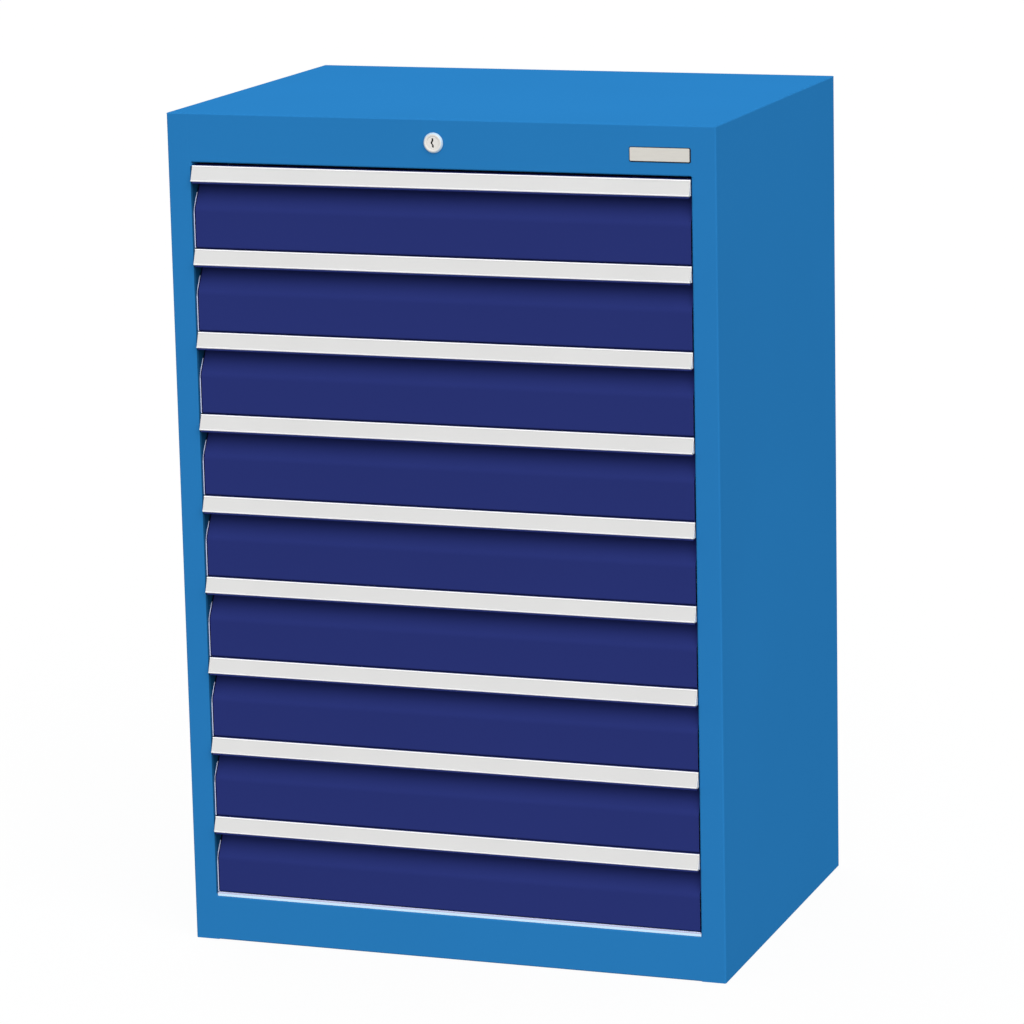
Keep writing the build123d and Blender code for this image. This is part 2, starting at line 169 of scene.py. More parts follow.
band_mask, band, band_out = start_group(
    "band_mask",
    {"Low": ("Vector", (0, 0, 0)), "High": ("Vector", (0, 0, 0)), "Soft": ("Float", 0.0003)},
    {"Inside": "Float"},
)
place = put(band_mask, "TexCoord").outputs["Object"]
over_low = put(band_mask, "VectorMath", {0: place, 1: band["Low"]}, operation="SUBTRACT")
under_high = put(band_mask, "VectorMath", {0: band["High"], 1: place}, operation="SUBTRACT")
nearest = put(band_mask, "VectorMath", {0: over_low.outputs[0], 1: under_high.outputs[0]},
              operation="MINIMUM")
split = put(band_mask, "SeparateXYZ", {0: nearest.outputs[0]})
least = put(band_mask, "Math", {0: split.outputs[0], 1: split.outputs[1]}, operation="MINIMUM")
least = put(band_mask, "Math", {0: least.outputs[0], 1: split.outputs[2]}, operation="MINIMUM")
inside = put(band_mask, "MapRange", {"Value": least.outputs[0], "From Max": band["Soft"]})
band_mask.links.new(inside.outputs[0], band_out["Inside"])


def coated(name, colour, edge_colour, edge_values, coat_values, bands=(), **constants):
    """Powder-coated sheet: the coat's own tone and peel, a paler line on every edge that is partly thin coat
    and partly a painted highlight, and bands of painted shade and reflection, each given as (lowest corner,
    highest corner, softness, colour)."""
    material, tree, shader = start_material(name, **constants)
    paint = use_group(tree, powder_coat, {"Colour": colour, **coat_values})
    worn_lit_edge = use_group(tree, edge_wear_and_highlight, edge_values)
    mix = blend(tree, worn_lit_edge["Edge"], paint["Colour"], edge_colour)
    for low, high, soft, band_colour in bands:
        mask = use_group(tree, band_mask, {"Low": low, "High": high, "Soft": soft})
        mix = blend(tree, mask["Inside"], mix, band_colour)
    tree.links.new(mix, shader["Base Color"])
    tree.links.new(paint["Roughness"], shader["Roughness"])
    tree.links.new(paint["Normal"], shader["Normal"])
    return material


# The left stile's edge beside the drawers carries a painted shade, which stands in for the shadow of the
# narrow gap.
FAR = 2.0
BAND_SOFTNESS = 0.3 * MM
STILE_EDGE_X = (-311.9 * MM, -307.5 * MM)
STILE_EDGE_Z = (58 * MM, 956 * MM)
STILE_SHADE = (0.0080, 0.068, 0.170, 1)

stile_shade_band = ((STILE_EDGE_X[0], -FAR, STILE_EDGE_Z[0]), (STILE_EDGE_X[1], 0, STILE_EDGE_Z[1]),
              BAND_SOFTNESS, STILE_SHADE)
housing_paint = coated(
    "housing_paint", HOUSING_BLUE, HOUSING_EDGE,
    {"Width": 0.0010, "Amount": 0.12},
    {"Colour Spread": 0.02, "Peel Size": 0.0024, "Peel Depth": 0.000016, "Roughness": 0.85},
    [stile_shade_band], Specular_IOR_Level=0.0,
)
for node_name in HOUSING_NODES:
    dress(node_name, housing_paint)

face_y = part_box("left_side_panel")[0].y


# Blind rivets that hold the back in the flanges, in a row along each of its four edges. They have domed
# heads with a small eye and are painted over with the housing.
RIVET_HEAD = 4.6 * MM
RIVET_RISE = 1.2 * MM
RIVET_EYE = 1.3 * MM
EYE_SHAPE = ((1.0, 0.95), (0.8, 0.45), (0.0, 0.4))
DOME_STEPS = 6
RIVET_ROWS = 6
RIVET_COLUMNS = 4
RIVET_EDGE = 28 * MM
ROUND_STEPS = 32
SAME_POINT = 0.0001 * MM


def turned(name, profile, steps=ROUND_STEPS):
    """Mesh of a profile of (radius, height) points turned about Z."""
    shape = bmesh.new()
    points = [shape.verts.new((radius, 0, height)) for radius, height in profile]
    edges = [shape.edges.new(pair) for pair in zip(points, points[1:])]
    bmesh.ops.spin(shape, geom=points + edges, axis=(0, 0, 1), cent=(0, 0, 0), angle=math.tau, steps=steps)
    bmesh.ops.remove_doubles(shape, verts=shape.verts, dist=SAME_POINT)
    bmesh.ops.recalc_face_normals(shape, faces=shape.faces)
    mesh = bpy.data.meshes.new(name)
    shape.to_mesh(mesh)
    shape.free()
    mesh.shade_smooth()
    return mesh


def joined(name, parts):
    """One mesh from a list of (mesh, placing matrix) pairs."""
    shape = bmesh.new()
    for mesh, where in parts:
        placed = bmesh.new()
        placed.from_mesh(mesh)
        placed.transform(where)
        copy = bpy.data.meshes.new("part")
        placed.to_mesh(copy)
        placed.free()
        shape.from_mesh(copy)
        bpy.data.meshes.remove(copy)
    mesh = bpy.data.meshes.new(name)
    shape.to_mesh(mesh)
    shape.free()
    return mesh


def piece(name, mesh, body, material, where=(0, 0, 0)):
    """Object of a mesh that rides a body and takes the given material as its finish."""
    obj = bpy.data.objects.new(name, mesh)
    bpy.context.scene.collection.objects.link(obj)
    obj.location = where
    if not mesh.materials:
        mesh.materials.append(material)
    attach(obj, body)
    return obj


def rivet_profile(head, rise, eye):
    """Dome from its rim to a flat-bottomed eye in the middle."""
    arc = [math.pi / 2 * step / DOME_STEPS for step in range(DOME_STEPS + 1)]
    dome = [(head * math.cos(a), rise * math.sin(a)) for a in arc if head * math.cos(a) > eye]
    return [(head, -rise)] + dome + [(eye * out, rise * up) for out, up in EYE_SHAPE]


def spread(low, high, count):
    """Even places between two edges, with the rivets' distance kept from both."""
    return [low + RIVET_EDGE + (high - low - 2 * RIVET_EDGE) * i / (count - 1) for i in range(count)]


rear_low, rear_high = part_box("rear_panel")
rivet = turned("rivet", rivet_profile(RIVET_HEAD, RIVET_RISE, RIVET_EYE))
face_back = Matrix.Rotation(-math.pi / 2, 4, "X")
columns = spread(rear_low.x, rear_high.x, RIVET_COLUMNS)
rows = spread(rear_low.z, rear_high.z, RIVET_ROWS)
spots = [(x, z) for z in rows for x in columns
         if x in (columns[0], columns[-1]) or z in (rows[0], rows[-1])]
places = [Matrix.Translation((x, rear_high.y, z)) @ face_back for x, z in spots]
rivets = joined("rear_rivets", [(rivet, place) for place in places])
rivets.shade_smooth()
piece("rear_rivets", rivets, "housing", housing_paint)


# Floor liner: a plain sheet in pale grey that lies on the bottom rail. Its turned-up edge shows under the
# fronts as a thin line, with a painted reflection of the rail's light blue at its foot and, above it, a
# lilac grey that is painted shade and reflection of the navy front.
PALE_GREY = (0.60, 0.60, 0.66, 1)
PALE_COAT = {"Colour Spread": 0.03, "Peel Size": 0.0020, "Peel Depth": 0.00001, "Roughness": 0.42}
LINER_EDGE = (0.70, 0.78, 0.90, 1)
LIP_THICKNESS = 2.5 * MM
LIP_TOP_HEIGHT = 1.2 * MM
LIP_SOFTNESS = 0.2 * MM
LIP_FOOT_REFLECTED_BLUE = (0.58, 0.80, 1.0, 1)
LIP_TOP_SHADED_LILAC = (0.50, 0.49, 0.66, 1)

liner_low, liner_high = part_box("floor_liner")
lip_back = liner_low.y + LIP_THICKNESS
lip_split = liner_high.z - LIP_TOP_HEIGHT
lip_foot_reflection = ((-FAR, -FAR, -FAR), (FAR, lip_back, lip_split), LIP_SOFTNESS, LIP_FOOT_REFLECTED_BLUE)
lip_top_shade = ((-FAR, -FAR, lip_split), (FAR, lip_back, FAR), LIP_SOFTNESS, LIP_TOP_SHADED_LILAC)
liner_paint = coated("liner_paint", PALE_GREY, LINER_EDGE, {"Width": 0.0006, "Amount": 0.3}, PALE_COAT,
                     [lip_foot_reflection, lip_top_shade], Specular_IOR_Level=0.15)
dress("floor_liner", liner_paint)


# Base ring, uprights, slide channels and the lock's fixings: mild steel with a bright zinc plate.
# Zinc has a cloudy bloom, faint blue and straw tints, and the long die lines of rolled section.
ZINC_GREY = (0.50, 0.51, 0.53, 1)
ZINC_STRAW = (0.60, 0.60, 0.58, 1)
ZINC_METALLIC = 0.9
BLOOM_ROUGHNESS = 0.16
DIE_LINES = (900, 6, 900)
ZINC_NODES = ("base_ring", "slide_uprights", "cabinet_rails", "lock_fixings", "lock_shaft", "locking_bar")

zinc_bloom, zinc, zinc_out = start_group(
    "zinc_bloom",
    {
        "Colour": ("Color", (0.5, 0.5, 0.5, 1)),
        "Tint": ("Color", (0.5, 0.5, 0.5, 1)),
        "Line Stretch": ("Vector", (1, 1, 1)),
        "Line Depth": ("Float", 0.00001),
        "Roughness": ("Float", 0.35),
    },
    {"Colour": "Color", "Roughness": "Float", "Normal": "Vector"},
)
place = put(zinc_bloom, "TexCoord").outputs["Object"]
bloom = put(zinc_bloom, "TexNoise", {"Vector": place, "Scale": 38.0, "Detail": 5.0, "Roughness": 0.65})
blot = put(zinc_bloom, "MapRange", {"Value": bloom.outputs["Fac"], "From Min": 0.38, "From Max": 0.68})
stain = blend(zinc_bloom, blot.outputs[0], zinc["Colour"], zinc["Tint"])
zinc_bloom.links.new(stain, zinc_out["Colour"])
dull = put(zinc_bloom, "Math", {0: blot.outputs[0], 1: BLOOM_ROUGHNESS, 2: zinc["Roughness"]},
           operation="MULTIPLY_ADD")
zinc_bloom.links.new(dull.outputs[0], zinc_out["Roughness"])
along = put(zinc_bloom, "VectorMath", {0: place, 1: zinc["Line Stretch"]}, operation="MULTIPLY")
lines = put(zinc_bloom, "TexNoise", {"Vector": along.outputs[0], "Scale": 1.0, "Detail": 3.0})
scored = put(zinc_bloom, "Bump", {"Height": lines.outputs["Fac"], "Distance": zinc["Line Depth"]})
zinc_bloom.links.new(scored.outputs[0], zinc_out["Normal"])


def plated(name, colour, tint, stretch, depth, roughness):
    """Plated steel with its bloom and its drawing lines."""
    material, tree, shader = start_material(name, Metallic=ZINC_METALLIC)
    finish = use_group(tree, zinc_bloom, {"Colour": colour, "Tint": tint, "Line Stretch": stretch,
                                          "Line Depth": depth, "Roughness": roughness})
    tree.links.new(finish["Colour"], shader["Base Color"])
    tree.links.new(finish["Roughness"], shader["Roughness"])
    tree.links.new(finish["Normal"], shader["Normal"])
    return material


zinc_steel = plated("zinc_steel", ZINC_GREY, ZINC_STRAW, DIE_LINES, depth=0.000012, roughness=0.34)
for node_name in ZINC_NODES:
    dress(node_name, zinc_steel)


# Cylinder lock: a bezel of satin nickel whose bevel carries a painted reflection of the housing's blue, and
# a plug whose face holds a zigzag keyway. The bezel is turned and polished round, the plug is pressed brass
# under the same nickel.
NICKEL = (0.70, 0.68, 0.65, 1)
NICKEL_ROUGHNESS = 0.40
RING_PALER = 1.12
RING_ROUGHER = 0.1
BEVEL_REFLECTED_BLUE = (0.47, 0.62, 0.76, 1)
BEVEL_FADE = 0.5 * MM
BEZEL_RADIUS = 12 * MM
BEZEL_FACE = 10.1 * MM
BEZEL_PROUD = 3 * MM
BEZEL_MOUTH = 0.15 * MM
FACE_ROUND = (0.2 * MM, 0.1 * MM, 0.06 * MM)
BEVEL_FOOT = (0.25 * MM, 1.25 * MM)
BEZEL_RIM = 0.9 * MM
SEAT_PLAY = 0.02 * MM
BARREL_RADIUS = 10 * MM
BARREL_LENGTH = 22 * MM
PLUG_RADIUS = 7.5 * MM
PLUG_PLAY = 0.12 * MM
PLUG_RECESS = 0.35 * MM
PLUG_LENGTH = 26 * MM
PLUG_BREAK = 0.1 * MM
PLUG_STEP = 0.05 * MM
FINE_STEPS = 72
KEYWAY_DEPTH = 9 * MM
KEYWAY_HALF_WIDTH = 1.15 * MM
KEYWAY_STEPS = ((5.4, -0.25), (2.4, -0.25), (1.0, -1.5), (-0.9, -1.5), (-2.6, 0.1), (-5.4, 0.1))

lock_low, lock_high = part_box("lock_body")
lock_centre = Vector(((lock_low.x + lock_high.x) / 2, face_y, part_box("lock_plug")[0].z + PLUG_RADIUS))
face_front = Matrix.Rotation(math.pi / 2, 4, "X")

turning_marks, marks, marks_out = start_group(
    "turning_marks",
    {"Pitch": ("Float", 0.0002), "Depth": ("Float", 0.000004), "Axis": ("Vector", (0, 0, 1))},
    {"Normal": "Vector", "Ring": "Float", "Reach": "Float"},
)
place = put(turning_marks, "TexCoord").outputs["Object"]
aside = put(turning_marks, "VectorMath", {0: place, 1: marks["Axis"]}, operation="SUBTRACT")
flat = put(turning_marks, "VectorMath", {0: aside.outputs[0], 1: (1, 0, 1)}, operation="MULTIPLY")
reach = put(turning_marks, "VectorMath", {0: flat.outputs[0]}, operation="LENGTH")
turns = put(turning_marks, "Math", {0: reach.outputs["Value"], 1: marks["Pitch"]}, operation="DIVIDE")
ring = put(turning_marks, "TexNoise", {"W": turns.outputs[0], "Scale": 1.0, "Detail": 2.0},
           noise_dimensions="1D")
cut = put(turning_marks, "Bump", {"Height": ring.outputs["Fac"], "Distance": marks["Depth"]})
turning_marks.links.new(cut.outputs[0], marks_out["Normal"])
turning_marks.links.new(ring.outputs["Fac"], marks_out["Ring"])
turning_marks.links.new(reach.outputs["Value"], marks_out["Reach"])


# Satin nickel with fine turning marks about the lock's axis, and from the bevel outwards a painted
# reflection of the housing's blue.
nickel, tree, shader = start_material("nickel", Metallic=0.12, Specular_IOR_Level=0.1)
rings = use_group(tree, turning_marks, {"Axis": lock_centre})
paler = tuple(min(1.0, value * RING_PALER) for value in NICKEL[:3]) + (1,)
out_of_face = put(tree, "MapRange", {
    "Value": rings["Reach"], "From Min": BEZEL_FACE, "From Max": BEZEL_FACE + BEVEL_FADE,
})
painted_reflection = blend(tree, out_of_face.outputs[0], blend(tree, rings["Ring"], NICKEL, paler), BEVEL_REFLECTED_BLUE)
tree.links.new(painted_reflection, shader["Base Color"])
polish = put(tree, "MapRange", {
    "Value": rings["Ring"], "To Min": NICKEL_ROUGHNESS, "To Max": NICKEL_ROUGHNESS + RING_ROUGHER,
})
tree.links.new(polish.outputs[0], shader["Roughness"])
tree.links.new(rings["Normal"], shader["Normal"])

bore = PLUG_RADIUS + PLUG_PLAY
barrel = BARREL_RADIUS - SEAT_PLAY
bezel_profile = [
    (bore, -BARREL_LENGTH),
    (bore, BEZEL_PROUD - BEZEL_MOUTH),
    (bore + BEZEL_MOUTH, BEZEL_PROUD),
    (BEZEL_FACE - FACE_ROUND[0], BEZEL_PROUD),
    (BEZEL_FACE + FACE_ROUND[1], BEZEL_PROUD - FACE_ROUND[2]),
    (BEZEL_RADIUS - BEVEL_FOOT[0], BEVEL_FOOT[1]),
    (BEZEL_RADIUS, BEZEL_RIM),
    (BEZEL_RADIUS, SEAT_PLAY),
    (barrel, SEAT_PLAY),
    (barrel, -BARREL_LENGTH),
    (bore, -BARREL_LENGTH),
]
bezel_mesh = turned("lock_bezel", bezel_profile, FINE_STEPS)
bezel_mesh.transform(Matrix.Translation(lock_centre) @ face_front)
bezel = piece("lock_bezel", bezel_mesh, "housing", nickel)
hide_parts("lock_body")


def closed_spline(curve, points):
    """Add one closed outline to a flat curve."""
    spline = curve.splines.new("POLY")
    spline.points.add(len(points) - 1)
    for target, (x, y) in zip(spline.points, points):
        target.co = (x, y, 0, 1)
    spline.use_cyclic_u = True


def sheet_cut(name, outlines, thickness, bevel=0.0):
    """Flat mesh of an outline with holes, given thickness and broken edges; its face is at z = 0."""
    curve = bpy.data.curves.new(name, "CURVE")
    curve.dimensions = "2D"
    curve.fill_mode = "BOTH"
    curve.extrude = thickness / 2 - bevel
    curve.bevel_depth = bevel
    curve.bevel_resolution = 1
    curve.offset = -bevel
    for points in outlines:
        closed_spline(curve, points)
    holder = bpy.data.objects.new(name, curve)
    bpy.context.scene.collection.objects.link(holder)
    bpy.context.view_layer.update()
    filled = holder.evaluated_get(bpy.context.evaluated_depsgraph_get())
    mesh = bpy.data.meshes.new_from_object(filled)
    bpy.data.objects.remove(holder)
    bpy.data.curves.remove(curve)
    mesh.transform(Matrix.Translation((0, 0, -thickness / 2)))
    mesh.name = name
    return mesh


def circle(radius):
    """Points of a circle about the origin."""
    angles = [math.tau * i / FINE_STEPS for i in range(FINE_STEPS)]
    return [(radius * math.cos(angle), radius * math.sin(angle)) for angle in angles]


right_edge = [(x * MM + KEYWAY_HALF_WIDTH, z * MM) for z, x in KEYWAY_STEPS]
left_edge = [(x * MM - KEYWAY_HALF_WIDTH, z * MM) for z, x in KEYWAY_STEPS]
keyway = right_edge + left_edge[::-1]
plug_face = sheet_cut("plug_face", [circle(PLUG_RADIUS), keyway], KEYWAY_DEPTH, PLUG_BREAK)
shank = PLUG_RADIUS - PLUG_STEP
plug_body = turned("plug_body", [(0, -KEYWAY_DEPTH), (shank, -KEYWAY_DEPTH), (shank, -PLUG_LENGTH),
                                 (0, -PLUG_LENGTH)])
plug_mesh = joined("lock_face", [(plug_face, Matrix()), (plug_body, Matrix())])
plug_mesh.transform(Matrix.Translation(lock_centre - Vector((0, BEZEL_PROUD - PLUG_RECESS, 0))) @ face_front)
plug = piece("lock_face", plug_mesh, "lock_core", nickel)
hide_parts("lock_plug")

# Pins that fill the keyway behind its mouth, coloured near black as a painted shade inside the deep slot.
PIN_DARK = (0.001, 0.001, 0.0015, 1)
PIN_PALE = (0.006, 0.006, 0.006, 1)
PIN_SHARE = 0.98
PINS_BACK = 1.1 * MM
PINS_SHORT = 1.2 * MM

keyway_shade_black, tree, shader = start_material("keyway_shade_black", Specular_IOR_Level=0.05, Roughness=0.7)
shade_mottle = put(tree, "TexNoise", {"Scale": 900.0, "Detail": 3.0})
tree.links.new(blend(tree, shade_mottle.outputs["Fac"], PIN_DARK, PIN_PALE), shader["Base Color"])
pin_outline = [(x * PIN_SHARE, z * PIN_SHARE) for x, z in keyway]
pin_stack = sheet_cut("lock_pins", [pin_outline], KEYWAY_DEPTH - PINS_SHORT)
pins_at = lock_centre - Vector((0, BEZEL_PROUD - PLUG_RECESS - PINS_BACK, 0))
pin_stack.transform(Matrix.Translation(pins_at) @ face_front)
piece("lock_pins", pin_stack, "lock_core", keyway_shade_black)


# Nameplate, left bare: a brushed silver plate with rounded corners on a dark backing that shows round its
# edge, a little more on the right and below. The backing is partly a real dark base and partly a painted
# shadow of the plate.
PLATE_BORDERS_AND_SHADOW = (0.8 * MM, 1.5 * MM, 1.3 * MM, 0.8 * MM)
PLATE_CORNER = 2.0 * MM
SILVER_CORNER = 1.3 * MM
SILVER_BREAK = 0.12 * MM
CORNER_STEPS = 6
BACKING_RISE = 0.35 * MM
BRUSH_LINES = (60, 60, 5200)
BACKING_DARK = (0.006, 0.010, 0.018, 1)
BACKING_PALE = (0.014, 0.018, 0.03, 1)
SILVER_DARK = (0.50, 0.48, 0.44, 1)
SILVER_PALE = (0.78, 0.76, 0.71, 1)

plate_low, plate_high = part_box("name_plate")
plate_middle = (plate_low + plate_high) / 2
plate_size = plate_high - plate_low


def rounded_rectangle(width, height, corner):
    """Points of a rectangle about the origin with rounded corners."""
    points = []
    for quarter, (side_x, side_y) in enumerate(((1, 1), (-1, 1), (-1, -1), (1, -1))):
        for step in range(CORNER_STEPS + 1):
            angle = math.pi / 2 * (quarter + step / CORNER_STEPS)
            points.append((side_x * (width / 2 - corner) + corner * math.cos(angle),
                           side_y * (height / 2 - corner) + corner * math.sin(angle)))
    return points


backing_black_and_shadow, tree, shader = start_material("backing_black_and_shadow", Specular_IOR_Level=0.2, Roughness=0.8)
mottle = put(tree, "TexNoise", {"Scale": 1400.0})
tree.links.new(blend(tree, mottle.outputs["Fac"], BACKING_DARK, BACKING_PALE), shader["Base Color"])
backing_outline = rounded_rectangle(plate_size.x, plate_size.z, PLATE_CORNER)
backing = sheet_cut("plate_backing", [backing_outline], BACKING_RISE)
backing.transform(Matrix.Translation((plate_middle.x, face_y - BACKING_RISE, plate_middle.z)) @ face_front)
backing_piece = piece("plate_backing", backing, "housing", backing_black_and_shadow)
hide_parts("name_plate")

brushed_silver, tree, shader = start_material("brushed_silver", Metallic=0.55, Specular_IOR_Level=0.4)
place = put(tree, "TexCoord").outputs["Object"]
stretched = put(tree, "VectorMath", {0: place, 1: BRUSH_LINES}, operation="MULTIPLY")
brush = put(tree, "TexNoise", {
    "Vector": stretched.outputs[0], "Scale": 1.0, "Detail": 4.0, "Roughness": 0.7,
})
tree.links.new(blend(tree, brush.outputs["Fac"], SILVER_DARK, SILVER_PALE), shader["Base Color"])
hair = put(tree, "MapRange", {"Value": brush.outputs["Fac"], "To Min": 0.3, "To Max": 0.5})
tree.links.new(hair.outputs[0], shader["Roughness"])
lines = put(tree, "Bump", {"Height": brush.outputs["Fac"], "Distance": 0.000008})
tree.links.new(lines.outputs[0], shader["Normal"])
left, right, below, above = PLATE_BORDERS_AND_SHADOW
silver_size = (plate_size.x - left - right, plate_size.z - below - above)
silver_rise = plate_size.y - BACKING_RISE
silver_outline = rounded_rectangle(*silver_size, SILVER_CORNER)
silver = sheet_cut("plate_face", [silver_outline], silver_rise, SILVER_BREAK)
silver_middle = (plate_middle.x + (left - right) / 2, plate_low.y, plate_middle.z + (below - above) / 2)
silver.transform(Matrix.Translation(silver_middle) @ face_front)
piece("plate_face", silver, "housing", brushed_silver)


# Drawer fronts: one folded sheet each in dark-blue powder coat, with the sloping finger recess under the
# strip. The left end of each, beside its edging, is painted nearly black as the shade of the gap.
DRAWER_COUNT = sum(name.endswith("_front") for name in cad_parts)
NAVY = (0.0203, 0.0305, 0.1575, 1)
NAVY_EDGE = (0.030, 0.035, 0.16, 1)
LEFT_END_X = -307.2 * MM
LEFT_END_SHADE = (0.0030, 0.0020, 0.016, 1)

left_end_shade = ((-FAR, -FAR, -FAR), (LEFT_END_X, FAR, FAR), BAND_SOFTNESS, LEFT_END_SHADE)
front_paint = coated(
    "front_paint", NAVY, NAVY_EDGE,
    {"Width": 0.0009, "Amount": 0.2},
    {"Colour Spread": 0.025, "Peel Size": 0.0022, "Peel Depth": 0.000016, "Roughness": 0.85},
    [left_end_shade], Specular_IOR_Level=0.008,
)
for number in range(1, DRAWER_COUNT + 1):
    dress(f"drawer_{number}_front", front_paint)


# Label strips: a white extruded channel on each front's leaning face, over the full width, with an end cap
# on the left and on the right. Its lower lip is rounded as the edge that fingers pull, and a grey label
# slides in between the two bright lips.
LEAN = math.radians(20.5)
STRIP_LENGTH = 19.6 * MM
STRIP_DROP = 0.25 * MM
STRIP_PLATE = 1.0 * MM
LIP_DEPTH = 1.0 * MM
UPPER_LIP = 1.4 * MM
LOWER_LIP = 1.5 * MM
BEAD = 1.2 * MM
BEAD_STEPS = 6
STRIP_BREAK = 0.22 * MM
BREAK_STEPS = 2
SHARP_EDGE = math.radians(32)
LABEL_RISE = 0.6 * MM
LABEL_PLAY = 0.15 * MM
LABEL_LIFT = 0.01 * MM
LABEL_INSET = 0.05 * MM
LABEL_SHORT = 0.8 * MM
CAP_INSET = 0.05 * MM
CAP_BACK = 0.9 * MM
CAP_BACK_DROP = 0.6 * MM
CAP_THICKNESS = 0.55 * MM
EXTRUSION_LINES = (5, 2600, 2600)
WHITE_DARK = (0.90, 0.90, 0.91, 1)
WHITE_PALE = (0.97, 0.97, 0.98, 1)
CARD_DARK = (0.583, 0.581, 0.577, 1)
CARD_PALE = (0.636, 0.634, 0.628, 1)
FIBRE_SHARE = 0.35


def leaning(inward, up):
    """Depth and height of a point on the strip, given in the strip's own directions."""
    depth = inward * math.cos(LEAN) + up * math.sin(LEAN)
    height = up * math.cos(LEAN) - inward * math.sin(LEAN)
    return depth, height


def extruded(name, section, x_range):
    """Mesh of a closed section of (depth, height) points run across the cabinet."""
    shape = bmesh.new()
    face = shape.faces.new([shape.verts.new((x_range[0], depth, height)) for depth, height in section])
    grown = bmesh.ops.extrude_face_region(shape, geom=[face])["geom"]
    moved = [item for item in grown if isinstance(item, bmesh.types.BMVert)]
    bmesh.ops.translate(shape, verts=moved, vec=(x_range[1] - x_range[0], 0, 0))
    bmesh.ops.recalc_face_normals(shape, faces=shape.faces)
    mesh = bpy.data.meshes.new(name)
    shape.to_mesh(mesh)
    shape.free()
    return mesh


def broken_edges(obj, width):
    """Small round on every sharp edge."""
    bevel = obj.modifiers.new("broken_edges", "BEVEL")
    bevel.width = width
    bevel.segments = BREAK_STEPS
    bevel.limit_method = "ANGLE"
    bevel.angle_limit = SHARP_EDGE
    bevel.use_clamp_overlap = True


handle_low, handle_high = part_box("drawer_1_handle")
channel_back = LIP_DEPTH + STRIP_PLATE
bead_angles = [math.pi / 2 * i / BEAD_STEPS for i in range(BEAD_STEPS + 1)]
bead_arc = [(BEAD - BEAD * math.sin(angle), BEAD - STRIP_LENGTH - BEAD * math.cos(angle))
            for angle in bead_angles]
strip_section = [leaning(*point) for point in [
    (0, -STRIP_DROP),
    (channel_back, -STRIP_DROP),
    (channel_back, -STRIP_LENGTH),
    *bead_arc,
    (0, LOWER_LIP - STRIP_LENGTH),
    (LIP_DEPTH, LOWER_LIP - STRIP_LENGTH),
    (LIP_DEPTH, -STRIP_DROP - UPPER_LIP),
    (0, -STRIP_DROP - UPPER_LIP),
]]
label_foot = LOWER_LIP - STRIP_LENGTH + LABEL_PLAY
label_top = -STRIP_DROP - UPPER_LIP - LABEL_PLAY
label_section = [leaning(*point) for point in [
    (LIP_DEPTH - LABEL_RISE, label_top),
    (LIP_DEPTH - LABEL_LIFT, label_top),
    (LIP_DEPTH - LABEL_LIFT, label_foot),
    (LIP_DEPTH - LABEL_RISE, label_foot),
]]

strip_white, tree, shader = start_material("strip_white", Specular_IOR_Level=0.5)
place = put(tree, "TexCoord").outputs["Object"]
stretched = put(tree, "VectorMath", {0: place, 1: EXTRUSION_LINES}, operation="MULTIPLY")
die_lines = put(tree, "TexNoise", {"Vector": stretched.outputs[0], "Scale": 1.0, "Detail": 2.0})
tree.links.new(blend(tree, die_lines.outputs["Fac"], WHITE_DARK, WHITE_PALE), shader["Base Color"])
satin = put(tree, "MapRange", {"Value": die_lines.outputs["Fac"], "To Min": 0.28, "To Max": 0.42})
tree.links.new(satin.outputs[0], shader["Roughness"])
drawn = put(tree, "Bump", {"Height": die_lines.outputs["Fac"], "Distance": 0.000006})
tree.links.new(drawn.outputs[0], shader["Normal"])

label_card, tree, shader = start_material("label_card", Specular_IOR_Level=0.2)
place = put(tree, "TexCoord").outputs["Object"]
fibre = put(tree, "TexNoise", {"Vector": place, "Scale": 900.0, "Detail": 4.0, "Roughness": 0.7})
cloud = put(tree, "TexNoise", {"Vector": place, "Scale": 9.0, "Detail": 2.0})
speckle = put(tree, "Math", {0: fibre.outputs["Fac"], 1: FIBRE_SHARE, 2: cloud.outputs["Fac"]},
              operation="MULTIPLY_ADD")
tree.links.new(blend(tree, speckle.outputs[0], CARD_DARK, CARD_PALE), shader["Base Color"])
matt = put(tree, "MapRange", {"Value": fibre.outputs["Fac"], "To Min": 0.5, "To Max": 0.7})
tree.links.new(matt.outputs[0], shader["Roughness"])
tooth = put(tree, "Bump", {"Height": fibre.outputs["Fac"], "Distance": 0.00001})
tree.links.new(tooth.outputs[0], shader["Normal"])

# The right cap closes the strip's whole end, the left one only the part behind the lips.
cap_top = -STRIP_DROP - CAP_INSET
cap_foot = leaning(BEAD, -STRIP_LENGTH)
right_cap_section = [
    leaning(CAP_INSET, cap_top),
    *[leaning(*point) for point in bead_arc[::-1]],
    (CAP_BACK, cap_foot[1]),
    (CAP_BACK, leaning(0, -STRIP_DROP)[1] - CAP_BACK_DROP),
]
left_cap_section = [
    leaning(LIP_DEPTH, cap_top),
    leaning(LIP_DEPTH, BEAD - STRIP_LENGTH),
    *right_cap_section[-3:],
]
bare_strip = extruded("bare_strip", strip_section, (handle_low.x, handle_high.x))
left_cap = extruded("left_cap", left_cap_section, (handle_low.x, handle_low.x + CAP_THICKNESS))
right_cap = extruded("right_cap", right_cap_section, (handle_high.x - CAP_THICKNESS, handle_high.x))
strip_mesh = joined("label_strip", [(part, Matrix()) for part in (bare_strip, left_cap, right_cap)])
label_mesh = extruded("label", label_section, (handle_low.x + LABEL_INSET, handle_high.x - LABEL_SHORT))
for number in range(1, DRAWER_COUNT + 1):
    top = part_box(f"drawer_{number}_front")[1].z
    strip = piece(f"drawer_{number}_strip", strip_mesh, f"drawer_{number}", strip_white,
                  (0, face_y, top))
    broken_edges(strip, STRIP_BREAK)
    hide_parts(f"drawer_{number}_handle")
    piece(f"drawer_{number}_label", label_mesh, f"drawer_{number}", label_card,
          (0, face_y, top))


